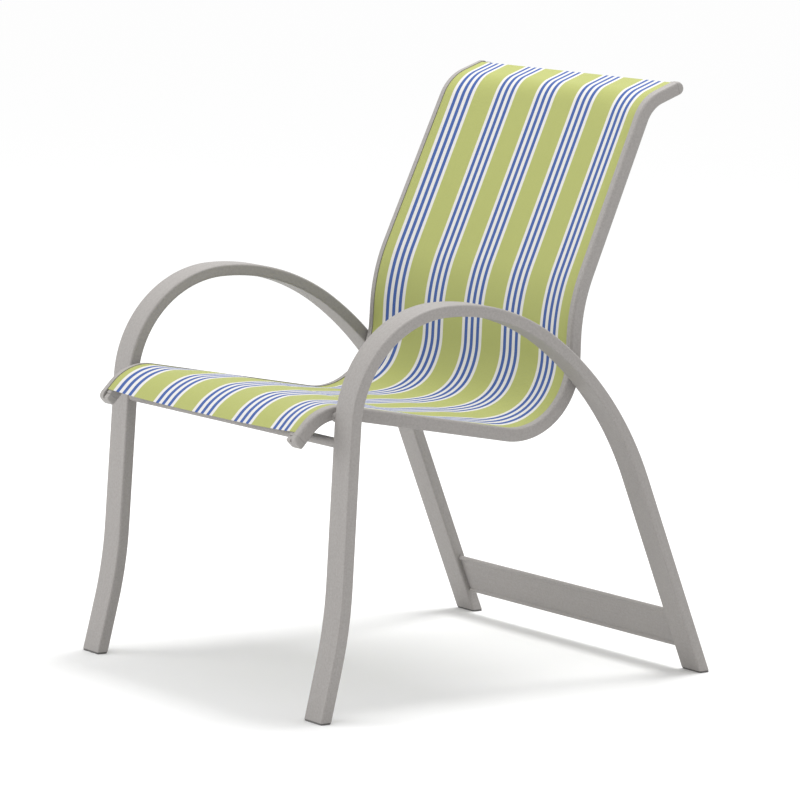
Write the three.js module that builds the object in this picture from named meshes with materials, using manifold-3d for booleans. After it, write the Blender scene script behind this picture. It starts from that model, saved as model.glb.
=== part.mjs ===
// Sling patio chair. Each side is one flat tube bent into a hoop that is front leg, arm and back leg.
// Two bent rails are bolted inside the hoops and hold a sling of woven fabric, whose hems slide on
// rods into grooves in the rails. A round crossbar joins the front legs and a flat stretcher the back.
// Millimetres, +Z up. The sitter faces -Y and +X is the sitter's left. The origin lies on the floor,
// in the middle of the chair's depth and width.
import * as THREE from "three";
import { mergeVertices } from "three/addons/utils/BufferGeometryUtils.js";
import Module from "manifold-3d";

const wasm = await Module();
wasm.setup();

// Fits that several pieces share
const clearance = 0.3; // between faces that touch on the real chair
const plugClearance = 0.5; // around a plug inside a bent tube
const overrun = 30; // how far a tube or a cutter reaches past the face that ends it

// Side hoop, from the front foot up, over the arm and down to the back foot.
// Headings are degrees from upright, positive towards the back, and so are the turns of the bends.
const hoopTubeWidth = 46.4; // across the chair
const hoopTubeDepth = 18.6; // in the plane of the bends
const hoopTubeWall = 2;
const hoopEdgeRadius = 3.3;
const hoopFrontSpacing = 614; // between the tubes' centres at the front feet
const hoopLeanShare = 0.01; // how much each hoop comes in for its height
const hoopToeShare = 0.0164; // how much each hoop comes in towards the back
const footY = -331.2;
const footHeading = 13.7;
const shinLength = 82.6;
const shinRadius = 656;
const shinTurn = -10.7;
const legLength = 234.5;
const armFrontRadius = 170;
const armFrontTurn = 84.2;
const armCrownRadius = 335;
const armCrownTurn = 37.7;
const armBackRadius = 508;
const armBackTurn = 32.5;
const hoopBendStep = 6; // degrees of bend for each facet

// Sling rail, from its nose in front of the legs to its rolled top
const railWidth = 25; // across the chair
const railDepth = 20.8; // in the plane of the bends
const railWall = 1.8;
const railOuterEdgeRadius = 4.5;
const railInnerEdgeRadius = 2;
const railBackEdgeRadius = 3;
const railStripWidth = 12.2; // bare face beside the fabric
const railLipThickness = 1.6; // over the groove that holds the hem
const railGrooveWall = 1.4;
const railSlotWidth = 2.8;
const railLeanShare = 0.0215;
const railToeShare = 0.0037;
const noseHeight = 407.4;
const noseReach = 64.8; // in front of the front leg's centre line
const noseHeading = 44;
const noseLength = 29.4;
const noseRadius = 72;
const noseTurn = 56.3;
const seatLength = 306;
const hipRadius = 109.6;
const hipTurn = -98.5;
const lumbarLength = 30.5;
const lumbarRadius = 267;
const lumbarTurn = 22.1;
const backLength = 255.1;
const rollRadius = 61.8;
const rollTurn = 46;
const topLength = 45.4;
const railBendStep = 12.4;

// Caps in the rails' ends. The top cap is rounded in side view over nearly the rail's whole depth
// and the nose cap only over its upper edge. The inner part of a cap lies lower than its bare strip.
const capLength = 10;
const topCapRound = 9.6;
const noseCapUpperRound = 9;
const noseCapLowerRound = 2.5;
const capOuterRound = 2; // of the corners in plan view
const capInnerRound = 2.8;
const capEdgeShare = 0.8; // largest edge radius, of half the depth there
const capRingShares = [0, 0.03, 0.12, 0.27, 0.5, 0.75, 1]; // of the larger round
const capStepDrop = 3.4; // from the bare strip to the inner part
const capSlotDepth = 6.5;
const capPlugLength = 8;
const capPlugOverlap = 2;

// Sling, its hems and the rods in them
const fabricThickness = 0.9;
const fabricDrop = 1; // below the rails' bare strips
const noseEndGap = 5.6; // of bare groove between cap and fabric
const topEndGap = 0.6;
const rodDiameter = 4;
const rodInset = 3; // from each end of the hem
const spanPoints = 6; // facets across the sling
const seatCutShares = [0.22, 0.42, 0.62]; // further facets along the straight seat run

// How far the middle of the sling lies out of the rails' curve, at marks along its length
const noseSag = 8; // inwards, at the front edge
const seatRise = 7.5; // outwards, behind the nose
const seatDip = 3.5; // inwards, over the seat spreader
const hipRise = 9.3; // outwards, where the sling bridges the hip bend
const backSag = 9; // inwards, over the whole back
const noseMarkShare = 0.15; // of the nose bend
const seatRiseShare = 0.21; // of the straight seat run
const seatDipShare = 0.61;
const hipMarkShare = 0.115; // of the hip bend
const lumbarMarkShare = 0.71;
const sagPower = 3; // how flat the sling stays across its middle

// Bolted joints between hoops and rails
const spacerLength = 9.8; // between hoop and rail at the front joints
const spacerDiameter = 15;
const boltDiameter = 5;
const boltHeadDiameter = 10;
const boltHeadHeight = 3;
const boltSocketDiameter = 3.6;
const boltSocketDepth = 1.8;
const boltChamfer = 0.6;
const washerDiameter = 12;
const washerThickness = 1.2;
const nutDiameter = 8;
const nutLength = 10;
const nutFlangeDiameter = 12;
const nutFlangeThickness = 1.2;

// Crossbar between the front legs
const crossbarDiameter = 15;
const crossbarWall = 1.6;
const crossbarDrop = 37.5; // from the front bolts down to the bar's centre

// Stretcher between the back legs, a web with a round bead along each edge
const stretcherHeight = 66.8; // of its centre over the floor
const stretcherWidth = 67; // along the legs' slope
const stretcherBeadDiameter = 7.5;
const stretcherBeadBore = 3;
const stretcherWeb = 3;

// Spreaders that hold the rails apart behind the sling
const spreaderWidth = 28;
const spreaderDepth = 12;
const spreaderWall = 1.6;
const spreaderGap = 1.7; // under the sling's middle
const seatSpreaderShare = 0.56; // of the straight seat run, from its front
const backSpreaderShare = 0.72; // of the straight back run, from its foot

// Glides under the feet
const glideHeight = 3;
const glideInset = 0.6;
const glideChamfer = 1;
const glidePlugLength = 12;

const degrees = THREE.MathUtils.degToRad;
const fullTurn = 360;
const halfTurn = fullTurn / 2;

// Paths

// A path in a side plane, made of straight runs and bends that join without a kink.
class BentPath {
  constructor(y, z, heading, runs) {
    this.runs = [];
    this.length = 0;
    let here = { y, z, heading: degrees(heading) };
    for (const run of runs) {
      const turn = degrees(run.turn ?? 0);
      const length = turn ? run.radius * Math.abs(turn) : run.length;
      this.runs.push({ ...here, from: this.length, length, turn, radius: run.radius });
      this.length += length;
      here = this.at(this.length);
    }
  }

  // Place and heading at a distance along the path.
  at(distance) {
    const run = this.runs.findLast((one) => one.from <= distance) ?? this.runs[0];
    const along = distance - run.from;
    if (!run.turn) {
      return {
        y: run.y + along * Math.sin(run.heading),
        z: run.z + along * Math.cos(run.heading),
        heading: run.heading,
        distance,
      };
    }
    const side = Math.sign(run.turn);
    const heading = run.heading + (side * along) / run.radius;
    return {
      y: run.y + side * run.radius * (Math.cos(run.heading) - Math.cos(heading)),
      z: run.z + side * run.radius * (Math.sin(heading) - Math.sin(run.heading)),
      heading,
      distance,
    };
  }

  // Stations from one distance to another: both ends, the cuts, and every joint and facet between.
  stations(from, to, bendStep, cuts = []) {
    const marks = [...cuts];
    for (const run of this.runs) {
      const facets = Math.max(1, Math.ceil(Math.abs(run.turn) / degrees(bendStep)));
      for (let i = 0; i < facets; i += 1) marks.push(run.from + (run.length * i) / facets);
    }
    const inside = marks.filter((mark) => mark > from + clearance && mark < to - clearance);
    inside.sort((a, b) => a - b);
    const kept = inside.filter((mark, i) => i === 0 || mark > inside[i - 1] + clearance);
    return [from, ...kept, to].map((mark) => this.at(mark));
  }
}

// A path that an extrusion follows, one step for each station.
class StationCurve extends THREE.Curve {
  constructor(stations) {
    super();
    this.stations = stations;
    this.steps = stations.length - 1;
  }

  getPoint(share, target = new THREE.Vector3()) {
    const station = this.stations[Math.round(share * this.steps)];
    return target.set(0, station.y, station.z);
  }

  getPointAt(share, target) {
    return this.getPoint(share, target);
  }

  // The section's first axis points inboard and its second out of the bend.
  computeFrenetFrames() {
    return {
      tangents: this.stations.map(({ heading }) => new THREE.Vector3(0, Math.sin(heading), Math.cos(heading))),
      normals: this.stations.map(() => new THREE.Vector3(-1, 0, 0)),
      binormals: this.stations.map(({ heading }) => new THREE.Vector3(0, -Math.cos(heading), Math.sin(heading))),
    };
  }
}

// A point beside a station: along is on the path's own line, out is away from the bend.
function beside(station, along, out) {
  const { y, z, heading } = station;
  return {
    y: y + along * Math.sin(heading) - out * Math.cos(heading),
    z: z + along * Math.cos(heading) + out * Math.sin(heading),
  };
}

// Where two chains of stations cross in the side plane, from front to back.
function crossings(first, second) {
  const found = [];
  for (let i = 1; i < first.length; i += 1) {
    for (let j = 1; j < second.length; j += 1) {
      const [a, b] = [first[i - 1], first[i]];
      const [c, d] = [second[j - 1], second[j]];
      const area = (b.y - a.y) * (d.z - c.z) - (b.z - a.z) * (d.y - c.y);
      const onFirst = ((c.y - a.y) * (d.z - c.z) - (c.z - a.z) * (d.y - c.y)) / area;
      const onSecond = ((c.y - a.y) * (b.z - a.z) - (c.z - a.z) * (b.y - a.y)) / area;
      if (onFirst >= 0 && onFirst < 1 && onSecond >= 0 && onSecond < 1) {
        found.push({ y: a.y + onFirst * (b.y - a.y), z: a.z + onFirst * (b.z - a.z) });
      }
    }
  }
  return found.sort((a, b) => a.y - b.y);
}

// Outlines

// Points of an arc, from one angle to another, both ends included.
function arc(centreX, centreY, radius, from, to, steps) {
  return Array.from({ length: steps + 1 }, (_, i) => {
    const angle = degrees(from + ((to - from) * i) / steps);
    return new THREE.Vector2(centreX + radius * Math.cos(angle), centreY + radius * Math.sin(angle));
  });
}

function circle(centreX, centreY, radius, sides) {
  return arc(centreX, centreY, radius, 0, fullTurn, sides).slice(0, -1);
}

// A box with four rounded corners, counter-clockwise from the lower left one.
function roundedBox(left, bottom, right, top, radii, steps) {
  const [lowLeft, lowRight, highRight, highLeft] = radii;
  return [
    ...arc(left + lowLeft, bottom + lowLeft, lowLeft, 180, 270, steps),
    ...arc(right - lowRight, bottom + lowRight, lowRight, 270, 360, steps),
    ...arc(right - highRight, top - highRight, highRight, 0, 90, steps),
    ...arc(left + highLeft, top - highLeft, highLeft, 90, 180, steps),
  ];
}

// The hoop tube's section, drawn in from its outer face by an inset.
function hoopSection(inset, steps) {
  const halfWidth = hoopTubeWidth / 2 - inset;
  const halfDepth = hoopTubeDepth / 2 - inset;
  const radius = Math.max(hoopEdgeRadius - inset, hoopTubeWall / 2);
  return roundedBox(-halfWidth, -halfDepth, halfWidth, halfDepth, Array(4).fill(radius), steps);
}

// Solids

function geometryOf(positions, index) {
  const geometry = new THREE.BufferGeometry();
  geometry.setAttribute("position", new THREE.Float32BufferAttribute(positions, 3));
  geometry.setIndex(index);
  geometry.computeVertexNormals();
  return geometry;
}

// A solid through rings of points. The loops, an outline and its holes, say how the ends close.
// Each side face between two rings is split from its corner nearer the chair's middle, so that
// the two faces of a thin sheet stay parallel where it twists.
function loft(loops, rings) {
  const lids = THREE.ShapeUtils.triangulateShape(loops[0], loops.slice(1));
  const points = rings.flat();
  const count = loops.flat().length;
  const last = points.length - count;
  const index = [];
  for (const [a, b, c] of lids) {
    index.push(c, b, a);
    index.push(last + a, last + b, last + c);
  }
  for (let low = 0; low < last; low += count) {
    let first = low;
    for (const loop of loops) {
      for (let i = 0; i < loop.length; i += 1) {
        const a = first + i;
        const b = first + ((i + 1) % loop.length);
        const aIsNearer = Math.abs(points[a].x) < Math.abs(points[b].x);
        index.push(a, b, aIsNearer ? b + count : a + count);
        index.push(aIsNearer ? a : b, b + count, a + count);
      }
      first += loop.length;
    }
  }
  return geometryOf(
    points.flatMap((point) => point.toArray()),
    index,
  );
}

// A straight piece across the chair, whose ends follow the faces at its two ends.
// Its outline and holes are points in the side plane.
function between(outline, holes, startFace, endFace) {
  const loops = [outline, ...holes].map((loop) => loop.map(({ y, z }) => new THREE.Vector2(y, z)));
  const rings = [startFace, endFace].map((face) =>
    loops.flat().map(({ x: y, y: z }) => new THREE.Vector3(face(y, z), y, z)),
  );
  return loft(loops, rings);
}

// A tube of one section along stations of a path.
function sweep(outline, holes, stations) {
  const shape = new THREE.Shape(outline);
  shape.holes = holes.map((hole) => new THREE.Path(hole));
  const path = new StationCurve(stations);
  return new THREE.ExtrudeGeometry(shape, { steps: path.steps, extrudePath: path, curveSegments: 1 });
}

function solidOf(geometry) {
  const bare = geometry.clone();
  bare.deleteAttribute("normal");
  bare.deleteAttribute("uv");
  const merged = mergeVertices(bare);
  return new wasm.Manifold(
    new wasm.Mesh({
      numProp: 3,
      vertProperties: merged.attributes.position.array,
      triVerts: new Uint32Array(merged.index.array),
    }),
  );
}

function geometryOfSolid(solid) {
  const { vertProperties, triVerts } = solid.getMesh();
  return geometryOf(vertProperties, [...triVerts]);
}

function cut(geometry, cutters) {
  const rest = cutters.reduce((solid, cutter) => solid.subtract(solidOf(cutter)), solidOf(geometry));
  return geometryOfSolid(rest);
}

function join(first, second) {
  return geometryOfSolid(solidOf(first).add(solidOf(second)));
}

// A round piece turned about an axis that points outboard.
function turned(profile, sides) {
  const points = profile.map(([radius, along]) => new THREE.Vector2(radius, along));
  return new THREE.LatheGeometry(points, sides).rotateZ(-Math.PI / 2);
}

// A round cutter across the chair.
function borer(radius, from, to, place) {
  const drill = new THREE.CylinderGeometry(radius, radius, to - from, 16).rotateZ(Math.PI / 2);
  return drill.translate((from + to) / 2, place.y, place.z);
}

// The two paths and where they cross

const hoopTop = [
  { length: overrun + shinLength },
  { radius: shinRadius, turn: shinTurn },
  { length: legLength },
  { radius: armFrontRadius, turn: armFrontTurn },
  { radius: armCrownRadius, turn: armCrownTurn },
  { radius: armBackRadius, turn: armBackTurn },
];
const hoopStartY = footY - overrun * Math.sin(degrees(footHeading));
const hoopStartZ = -overrun * Math.cos(degrees(footHeading));
const hoopCrest = new BentPath(hoopStartY, hoopStartZ, footHeading, hoopTop);
const backLegTop = hoopCrest.at(hoopCrest.length);
const backLegLength = overrun - backLegTop.z / Math.cos(backLegTop.heading);
const hoopPath = new BentPath(hoopStartY, hoopStartZ, footHeading, [...hoopTop, { length: backLegLength }]);
const hoopStations = hoopPath.stations(0, hoopPath.length, hoopBendStep);

// Points of the hoop's centre line at a height, on the front leg or the back one.
const frontLeg = hoopPath.runs[2];
const backLeg = hoopPath.runs.at(-1);
function onLeg(leg, z) {
  return { y: leg.y + (z - leg.z) * Math.tan(leg.heading), z, heading: leg.heading };
}

const railPath = new BentPath(onLeg(frontLeg, noseHeight).y - noseReach, noseHeight, noseHeading, [
  { length: noseLength },
  { radius: noseRadius, turn: noseTurn },
  { length: seatLength },
  { radius: hipRadius, turn: hipTurn },
  { length: lumbarLength },
  { radius: lumbarRadius, turn: lumbarTurn },
  { length: backLength },
  { radius: rollRadius, turn: rollTurn },
  { length: topLength },
]);
const [, noseBend, seatRun, hipBend, , , backRun, rollBend, topRun] = railPath.runs;
const railStart = capLength + clearance;
const railEnd = railPath.length - railStart;
const fabricStart = capLength + noseEndGap;
const fabricEnd = railPath.length - capLength - topEndGap;
const railStations = railPath.stations(railStart, railEnd, railBendStep, [fabricStart, fabricEnd]);
const seatCuts = seatCutShares.map((share) => seatRun.from + share * seatRun.length);
const fabricStations = railPath.stations(fabricStart, fabricEnd, railBendStep, seatCuts);

// Levels of the rail's section, measured out from its centre line
const hemRadius = rodDiameter / 2 + clearance + fabricThickness;
const grooveRadius = hemRadius + 2 * clearance;
const fabricTop = railDepth / 2 - fabricDrop;
const fabricBottom = fabricTop - fabricThickness;
const lipTop = fabricBottom - clearance;
const lipBottom = lipTop - railLipThickness;
const grooveLevel = lipBottom - grooveRadius;
const hollowTop = grooveLevel - grooveRadius - railGrooveWall;
const hollowBottom = railWall - railDepth / 2;
const boltLevel = (hollowTop + hollowBottom) / 2;
const slotInset = railStripWidth + railSlotWidth / 2; // from the rail's outer face

const boltLine = railStations.map((station) => beside(station, 0, boltLevel));
const crossed = crossings(hoopStations, boltLine);
const frontJoint = crossed[0];
const backJoint = crossed.at(-1);

// How far from the chair's middle the faces stand at a place in the side plane
function hoopMiddle(y, z) {
  return hoopFrontSpacing / 2 - hoopToeShare * (y - footY) - hoopLeanShare * z;
}
function hoopInner(y, z) {
  return hoopMiddle(y, z) - hoopTubeWidth / 2;
}
const railAtJoint = hoopInner(frontJoint.y, frontJoint.z) - spacerLength;
function railOuter(y, z) {
  return railAtJoint - railToeShare * (y - frontJoint.y) - railLeanShare * (z - frontJoint.z);
}
function railInner(y, z) {
  return railOuter(y, z) - railWidth;
}

// Moves and slants a piece drawn about x = 0 so that it follows one of those faces.
function slanted(face) {
  const group = new THREE.Group();
  const base = face(0, 0);
  group.matrixAutoUpdate = false;
  group.matrix.set(1, face(1, 0) - base, face(0, 1) - base, base, 0, 1, 0, 0, 0, 0, 1, 0, 0, 0, 0, 1);
  return group;
}

// Finishes
const powderCoat = { color: 0xa8a5a1, roughness: 0.62, metalness: 0.1 };
const slingCloth = { color: 0xbcc27a, roughness: 0.85, metalness: 0 };
const greyPlastic = { color: 0xa09d99, roughness: 0.55, metalness: 0 };
const darkPlastic = { color: 0x55534f, roughness: 0.6, metalness: 0 };
const whitePlastic = { color: 0xe4e2dc, roughness: 0.5, metalness: 0 };
const steel = { color: 0xb9babc, roughness: 0.35, metalness: 1 };

function piece(name, geometry, finish) {
  const mesh = new THREE.Mesh(geometry, new THREE.MeshStandardMaterial(finish));
  mesh.name = name;
  return mesh;
}

// Side hoop, cut level above its glides and bored for its two nuts

function hoopGeometry() {
  const tube = sweep(hoopSection(0, 3), [hoopSection(hoopTubeWall, 1)], hoopStations);
  const backFoot = onLeg(backLeg, 0);
  const floorLength = backFoot.y - footY + 2 * overrun;
  const floorHeight = glideHeight + 2 * overrun;
  const floor = new THREE.BoxGeometry(hoopTubeWidth + overrun, floorLength, floorHeight);
  floor.translate(0, (footY + backFoot.y) / 2, glideHeight - floorHeight / 2);
  const face = -hoopTubeWidth / 2;
  const bores = [frontJoint, backJoint].map((joint) =>
    borer(nutDiameter / 2 + clearance, face - overrun, face + 2 * hoopTubeWall, joint),
  );
  return cut(tube, [floor, ...bores]);
}

// A glide: a thin sole under the foot and a plug up the tube.
function glideGeometry(foot) {
  const slope = Math.tan(foot.heading);
  const spread = 1 / Math.abs(Math.cos(foot.heading));
  const ring = (inset, z) =>
    hoopSection(inset, 2).map(({ x, y }) => new THREE.Vector3(x, foot.y + z * slope + y * spread, z));
  const stack = (levels) =>
    loft(
      [hoopSection(0, 2)],
      levels.map(([inset, z]) => ring(inset, z)),
    );
  const soleTop = glideHeight - clearance;
  const plugInset = hoopTubeWall + plugClearance;
  const sole = stack([
    [glideInset + glideChamfer, 0],
    [glideInset, glideChamfer],
    [glideInset, soleTop],
  ]);
  const plug = stack([
    [plugInset, soleTop / 2],
    [plugInset, soleTop + glidePlugLength],
  ]);
  return join(sole, plug);
}

// Sling rail with the keyhole groove for the hem beside its bare strip, and a hollow round the groove

function railOutline() {
  const half = railDepth / 2;
  const slotAngle = Math.acos(railSlotWidth / 2 / grooveRadius) / degrees(1);
  const inletRight = slotInset + railSlotWidth / 2;
  return [
    ...arc(railBackEdgeRadius, railBackEdgeRadius - half, railBackEdgeRadius, 180, 270, 2),
    ...arc(railWidth - railBackEdgeRadius, railBackEdgeRadius - half, railBackEdgeRadius, 270, 360, 2),
    ...arc(railWidth - railInnerEdgeRadius, lipTop - railInnerEdgeRadius, railInnerEdgeRadius, 0, 90, 2),
    new THREE.Vector2(inletRight, lipTop),
    ...arc(slotInset, grooveLevel, grooveRadius, slotAngle, -halfTurn - slotAngle, 8),
    new THREE.Vector2(railStripWidth, half),
    ...arc(railOuterEdgeRadius, half - railOuterEdgeRadius, railOuterEdgeRadius, 90, 180, 3),
  ];
}

function railHollow() {
  const left = railWall;
  const right = railWidth - railWall;
  const grooveLeft = slotInset - grooveRadius - railGrooveWall;
  const grooveRight = slotInset + grooveRadius + railGrooveWall;
  const corners = [
    [left, lipBottom],
    [grooveLeft, lipBottom],
    [grooveLeft, hollowTop],
    [grooveRight, hollowTop],
    [grooveRight, lipBottom],
    [right, lipBottom],
    [right, hollowBottom],
    [left, hollowBottom],
  ];
  return corners.map(([x, y]) => new THREE.Vector2(x, y));
}

function railGeometry() {
  const rail = sweep(railOutline(), [railHollow()], railStations);
  const bores = [frontJoint, backJoint].map((joint) =>
    borer(boltDiameter / 2 + clearance, -railWidth - overrun, overrun, joint),
  );
  return cut(rail, bores);
}

// How far a quarter round stands back, at a distance behind the face that it starts from.
function standBack(round, distance) {
  return distance < round ? round - Math.sqrt(round ** 2 - (round - distance) ** 2) : 0;
}

// A rail's end cap: a rounded end as wide as the rail and a flat plug in the hollow under the groove.
// The tip is the distance of its end along the path and way is the direction into the rail.
function capGeometry(tip, way, upperRound, lowerRound) {
  const half = railDepth / 2;
  const edges = [railBackEdgeRadius, railBackEdgeRadius, railInnerEdgeRadius, railOuterEdgeRadius];
  const section = (distance) => {
    const left = standBack(capOuterRound, distance);
    const right = railWidth - standBack(capInnerRound, distance);
    const low = standBack(lowerRound, distance) - half;
    const high = half - standBack(upperRound, distance);
    const radii = edges.map((radius) => Math.min(radius, ((high - low) / 2) * capEdgeShare));
    return roundedBox(left, low, right, high, radii, 3);
  };
  const ring = (distance) => {
    const station = railPath.at(tip + way * distance);
    return section(distance).map(({ x, y }) => {
      const place = beside(station, 0, y);
      return new THREE.Vector3(-x, place.y, place.z);
    });
  };
  const rings = capRingShares.map((share) => ring(share * upperRound));
  rings.push(ring(capLength));
  const body = loft([section(capLength)], way > 0 ? rings : rings.reverse());
  const swept = (left, right, low, high, from, to) => {
    const outline = [
      new THREE.Vector2(left, low),
      new THREE.Vector2(right, low),
      new THREE.Vector2(right, high),
      new THREE.Vector2(left, high),
    ];
    const ends = [tip + way * from, tip + way * to].sort((a, b) => a - b);
    return sweep(outline, [], railPath.stations(ends[0], ends[1], railBendStep));
  };
  const inset = railWall + plugClearance;
  const plug = swept(
    inset,
    railWidth - inset,
    hollowBottom + plugClearance,
    hollowTop - plugClearance,
    capLength - capPlugOverlap,
    capLength + capPlugLength,
  );
  const cutter = (left, right, depth) =>
    swept(left, right, half - depth, half + overrun, -overrun, capLength + overrun);
  const step = cutter(railStripWidth + railSlotWidth / 2, railWidth + overrun, capStepDrop);
  const slot = cutter(railStripWidth, railStripWidth + railSlotWidth, capSlotDepth);
  return cut(join(body, plug), [step, slot]);
}

// Sling: flat over the rails' lips, curved between them, its hems turned down into the grooves

const hemSides = 6;

// Marks along the rails' path, and how far the middle of the sling lies out of its curve there
const sagMarks = [
  [0, -noseSag],
  [noseBend.from + noseMarkShare * noseBend.length, -noseSag],
  [seatRun.from + seatRiseShare * seatRun.length, seatRise],
  [seatRun.from + seatDipShare * seatRun.length, -seatDip],
  [hipBend.from + hipMarkShare * hipBend.length, hipRise],
  [hipBend.from + lumbarMarkShare * hipBend.length, -backSag],
  [rollBend.from, -backSag],
  [topRun.from, 0],
  [railPath.length, 0],
];

// How far the middle of the sling lies out of the rails' curve at a distance along it.
function middleRise(distance) {
  const next = Math.max(1, sagMarks.findIndex(([mark]) => mark >= distance));
  const [[from, start], [to, end]] = sagMarks.slice(next - 1, next + 1);
  return start + ((end - start) * (1 - Math.cos((Math.PI * (distance - from)) / (to - from)))) / 2;
}

function slingPoints() {
  const neck = fabricThickness; // half of two layers
  const neckAngle = Math.asin(neck / hemRadius) / degrees(1);
  const neckLevel = grooveLevel + Math.sqrt(hemRadius ** 2 - neck ** 2);
  const hemEdge = (side) => {
    const turns = Array.from({ length: hemSides - 1 }, (_, i) => ((i + 1) * fullTurn) / hemSides);
    const bead = turns.filter((turn) => turn > neckAngle && turn < fullTurn - neckAngle).map((turn) => ({
      side,
      inset: slotInset + hemRadius * Math.sin(degrees(turn)),
      out: grooveLevel + hemRadius * Math.cos(degrees(turn)),
    }));
    return [
      { side, inset: slotInset + neck, out: fabricBottom },
      { side, inset: slotInset + neck, out: neckLevel },
      ...bead,
      { side, inset: slotInset - neck, out: neckLevel },
      { side, inset: slotInset - neck, out: fabricTop },
    ];
  };
  const face = (out) =>
    Array.from({ length: spanPoints + 1 }, (_, i) => ({ share: 1 - (2 * i) / spanPoints, out }));
  return [...hemEdge(1).reverse(), ...face(fabricBottom), ...hemEdge(-1), ...face(fabricTop).reverse()];
}

function hemHole(side) {
  const radius = (rodDiameter / 2 + clearance) / Math.cos(Math.PI / hemSides);
  const points = Array.from({ length: hemSides }, (_, i) => {
    const turn = degrees((i * fullTurn) / hemSides);
    return {
      side,
      inset: slotInset + radius * Math.sin(turn),
      out: grooveLevel + radius * Math.cos(turn),
    };
  });
  return side < 0 ? points.reverse() : points;
}

function slingGeometry() {
  const loops = [slingPoints(), hemHole(1), hemHole(-1)];
  const level = (point, station) => {
    const bulge = point.side ? 0 : 1 - Math.abs(point.share) ** sagPower;
    return point.out + bulge * middleRise(station.distance);
  };
  const place = (point, station) => {
    const { y, z } = beside(station, 0, level(point, station));
    const x = point.side ? point.side * (railOuter(y, z) - point.inset) : point.share * railInner(y, z);
    return new THREE.Vector3(x, y, z);
  };
  const edge = fabricStations[0];
  const flat = loops.map((loop) =>
    loop.map((point) => new THREE.Vector2(-place(point, edge).x, level(point, edge))),
  );
  const rings = fabricStations.map((station) => loops.flat().map((point) => place(point, station)));
  return loft(flat, rings);
}

function rodGeometry() {
  const rod = circle(slotInset, grooveLevel, rodDiameter / 2, hemSides).map(
    ({ x, y }) => new THREE.Vector2(slotInset + y - grooveLevel, grooveLevel + x - slotInset),
  );
  const stations = railPath.stations(fabricStart + rodInset, fabricEnd - rodInset, railBendStep);
  return sweep(rod.reverse(), [], stations);
}

// Fasteners of one bolted joint, drawn about their own axis

function boltGeometry(length) {
  const radius = boltDiameter / 2;
  const head = boltHeadDiameter / 2;
  const socket = boltSocketDiameter / 2;
  const rim = (head + socket) / 2;
  return turned(
    [
      [0, boltSocketDepth - boltHeadHeight],
      [socket, boltSocketDepth - boltHeadHeight],
      [socket, -boltHeadHeight],
      [rim, -boltHeadHeight],
      [head, -boltHeadHeight / 2],
      [head, 0],
      [radius, 0],
      [radius, length - boltChamfer],
      [radius - boltChamfer, length],
      [0, length],
    ],
    12,
  );
}

function washerGeometry() {
  const bore = boltDiameter / 2 + clearance;
  const rim = washerDiameter / 2;
  return turned(
    [
      [bore, 0],
      [rim, 0],
      [rim, washerThickness],
      [bore, washerThickness],
      [bore, 0],
    ],
    16,
  );
}

function nutGeometry() {
  const bore = boltDiameter / 2 + clearance;
  const flange = nutFlangeDiameter / 2;
  const body = nutDiameter / 2;
  return turned(
    [
      [bore, -nutFlangeThickness],
      [flange, -nutFlangeThickness],
      [flange, 0],
      [body, 0],
      [body, nutLength],
      [bore, nutLength],
      [bore, -nutFlangeThickness],
    ],
    16,
  );
}

// The spacer, bolt, washer and nut that hold a rail to its hoop, on the +X side.
function joint(name, place) {
  const parts = [];
  const ringAt = (radius, sides) =>
    circle(place.y, place.z, radius, sides).map(({ x, y }) => ({ y: x, z: y }));
  const spacer = between(
    ringAt(spacerDiameter / 2, 20),
    [ringAt(boltDiameter / 2 + clearance, 12).reverse()],
    (y, z) => railOuter(y, z) + clearance,
    (y, z) => hoopInner(y, z) - 2 * clearance - nutFlangeThickness,
  );
  parts.push(piece(name + "_spacer", spacer, powderCoat));
  const washerBack = railInner(place.y, place.z) - clearance - washerThickness;
  const boltSeat = washerBack - clearance;
  const nutSeat = hoopInner(place.y, place.z) - clearance;
  const reach = nutSeat + nutLength - boltSeat;
  const turnedPieces = [
    ["_bolt", boltGeometry(reach), boltSeat],
    ["_washer", washerGeometry(), washerBack],
    ["_nut", nutGeometry(), nutSeat],
  ];
  for (const [ending, geometry, x] of turnedPieces) {
    const made = piece(name + ending, geometry, steel);
    made.position.set(x, place.y, place.z);
    parts.push(made);
  }
  return parts;
}

// Bars across the chair

function sectionAt(station, points) {
  return points.map(({ x, y }) => beside(station, x, y));
}

function crossbarGeometry() {
  const centre = onLeg(frontLeg, frontJoint.z - crossbarDrop);
  const reach = (y, z) => hoopInner(y, z) - clearance;
  const outer = circle(0, 0, crossbarDiameter / 2, 20);
  const bore = circle(0, 0, crossbarDiameter / 2 - crossbarWall, 12).reverse();
  return between(
    sectionAt(centre, outer),
    [sectionAt(centre, bore)],
    (y, z) => -reach(y, z),
    reach,
  );
}

function stretcherGeometry() {
  const bead = stretcherBeadDiameter / 2;
  const offset = stretcherWidth / 2 - bead;
  const meet = Math.asin(stretcherWeb / 2 / bead) / degrees(1);
  const outline = [
    ...arc(-offset, 0, bead, meet, fullTurn - meet, 12),
    ...arc(offset, 0, bead, meet - halfTurn, halfTurn - meet, 12),
  ];
  const bores = [-offset, offset].map((x) => circle(x, 0, stretcherBeadBore / 2, 8).reverse());
  const centre = onLeg(backLeg, stretcherHeight);
  const reach = (y, z) => hoopInner(y, z) - clearance;
  return between(
    sectionAt(centre, outline),
    bores.map((bore) => sectionAt(centre, bore)),
    (y, z) => -reach(y, z),
    reach,
  );
}

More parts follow.
